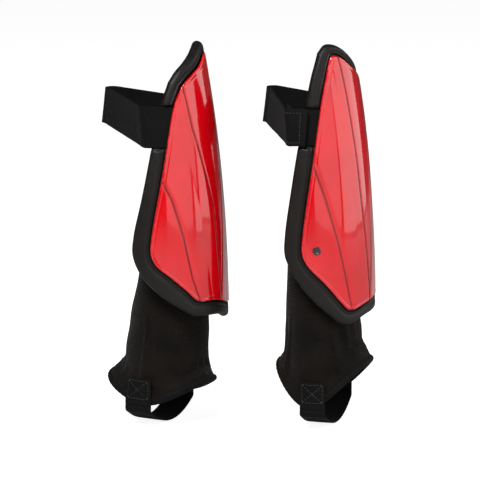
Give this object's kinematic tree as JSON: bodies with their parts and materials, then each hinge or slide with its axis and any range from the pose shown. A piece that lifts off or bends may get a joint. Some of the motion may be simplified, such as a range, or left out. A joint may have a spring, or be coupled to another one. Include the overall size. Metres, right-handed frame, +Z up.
{
  "type": "shin guards",
  "caption": "Pair of ankle-sleeve shin guards: a curved glossy shell on a foam pad, an elastic calf strap, and a knitted ankle sleeve with a stirrup under the foot.",
  "frame": {"origin": "on the left leg's axis, at the height of the lowest point of the stirrup", "axes": "+Z up the leg; the right leg's axis is 134 mm along +X; both guards face 60 degrees from -Y towards +X"},
  "size_m": [0.2502, 0.1084, 0.3479],
  "materials": {
    "red_shell": "glossy moulded",
    "black_foam": "matt closed-cell foam skin",
    "black_lining": "brushed lining",
    "black_webbing": "elastic webbing",
    "hook_and_loop": "hook and loop tape",
    "black_knit": "ribbed knit",
    "dark_stud": "satin"
  },
  "bodies": {
    "left_pad": {"left_shell": "red_shell", "left_foam_pad": "black_foam", "left_pad_lining": "black_lining", "left_shell_stud": "dark_stud", "left_strap_anchor": "black_webbing", "left_closure_stub": "black_webbing", "left_loop_patch": "hook_and_loop", "left_sleeve_seam": "black_lining"},
    "left_strap": {"left_calf_strap": "black_webbing"},
    "left_tab": {"left_strap_tab": "black_webbing", "left_hook_patch": "hook_and_loop"},
    "left_sleeve": {"left_ankle_sleeve": "black_knit", "left_sleeve_binding": "black_webbing", "left_stirrup_patch_outer": "black_webbing", "left_stirrup_patch_inner": "black_webbing"},
    "left_stirrup": {"left_stirrup_strap": "black_webbing"},
    "right_pad": {"right_shell": "red_shell", "right_foam_pad": "black_foam", "right_pad_lining": "black_lining", "right_shell_stud": "dark_stud", "right_strap_anchor": "black_webbing", "right_closure_stub": "black_webbing", "right_loop_patch": "hook_and_loop", "right_sleeve_seam": "black_lining"},
    "right_strap": {"right_calf_strap": "black_webbing"},
    "right_tab": {"right_strap_tab": "black_webbing", "right_hook_patch": "hook_and_loop"},
    "right_sleeve": {"right_ankle_sleeve": "black_knit", "right_sleeve_binding": "black_webbing", "right_stirrup_patch_outer": "black_webbing", "right_stirrup_patch_inner": "black_webbing"},
    "right_stirrup": {"right_stirrup_strap": "black_webbing"}
  },
  "joints": [
    {"name": "left_strap_swing", "type": "hinge", "parent": "left_pad", "child": "left_strap", "pos_m": [0.00047, -0.04421, 0.2755], "axis": [0, 0, 1], "range_deg": [0, 70], "stiffness_Nm_per_rad": 0.01, "deforming": ["left_strap_tab", "left_hook_patch"]},
    {"name": "left_tab_peel", "type": "hinge", "parent": "left_strap", "child": "left_tab", "pos_m": [0.01945, 0.04235, 0.27666], "axis": [0, 0, 1], "range_deg": [0, 60], "stiffness_Nm_per_rad": 0.005},
    {"name": "left_sleeve_flex", "type": "hinge", "parent": "left_pad", "child": "left_sleeve", "pos_m": [0.01175, -0.00679, 0.152], "axis": [0.5, 0.866, 0], "range_deg": [0, 20]},
    {"name": "left_stirrup_swing", "type": "hinge", "parent": "left_sleeve", "child": "left_stirrup", "pos_m": [0.00136, -0.00079, 0.0203], "axis": [0.5, 0.866, 0], "range_deg": [-40, 40], "deforming": ["left_stirrup_strap"]},
    {"name": "right_lift", "type": "slide", "parent": "left_pad", "child": "right_pad", "axis": [0, 0, 1], "range_m": [0, 0.25]},
    {"name": "right_strap_swing", "type": "hinge", "parent": "right_pad", "child": "right_strap", "pos_m": [0.17252, 0.0217, 0.2755], "axis": [0, 0, -1], "range_deg": [0, 70], "stiffness_Nm_per_rad": 0.01, "deforming": ["right_strap_tab", "right_hook_patch"]},
    {"name": "right_tab_peel", "type": "hinge", "parent": "right_strap", "child": "right_tab", "pos_m": [0.10955, -0.03696, 0.27648], "axis": [0, 0, -1], "range_deg": [0, 60], "stiffness_Nm_per_rad": 0.005},
    {"name": "right_sleeve_flex", "type": "hinge", "parent": "right_pad", "child": "right_sleeve", "pos_m": [0.14575, -0.00679, 0.152], "axis": [0.5, 0.866, 0], "range_deg": [0, 20]},
    {"name": "right_stirrup_swing", "type": "hinge", "parent": "right_sleeve", "child": "right_stirrup", "pos_m": [0.14532, -0.00654, 0.0203], "axis": [0.5, 0.866, 0], "range_deg": [-40, 40], "deforming": ["right_stirrup_strap"]}
  ]
}
